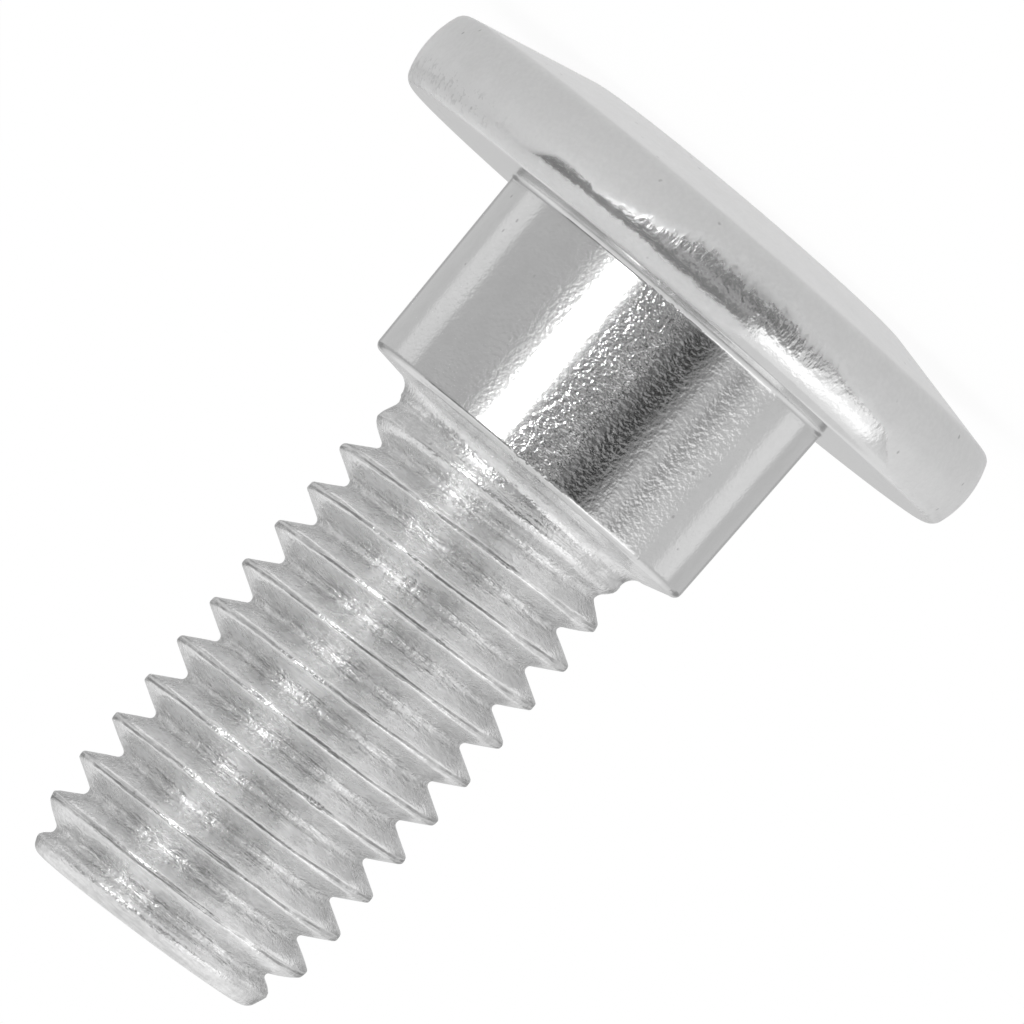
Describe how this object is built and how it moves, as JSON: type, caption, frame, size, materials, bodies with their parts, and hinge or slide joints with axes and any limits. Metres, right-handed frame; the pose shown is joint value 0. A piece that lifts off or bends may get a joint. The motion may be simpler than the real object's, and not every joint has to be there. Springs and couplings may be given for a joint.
{
  "type": "disc bolt",
  "caption": "Shouldered bolt with a wide flat disc head, a plain locating shoulder and a coarse metric thread, for fixing a disc to a hub.",
  "frame": {"origin": "on the bolt's axis, in the plane of the seat under the head", "axes": "+Z along the axis from the head to the tip of the thread; the bolt stands on its head"},
  "size_m": [0.0176, 0.0176, 0.0235],
  "materials": {
    "zinc_plated_steel": "bright zinc plating, finely pitted on the shoulder"
  },
  "bodies": {
    "root": {"disc_bolt": "zinc_plated_steel"}
  },
  "joints": []
}
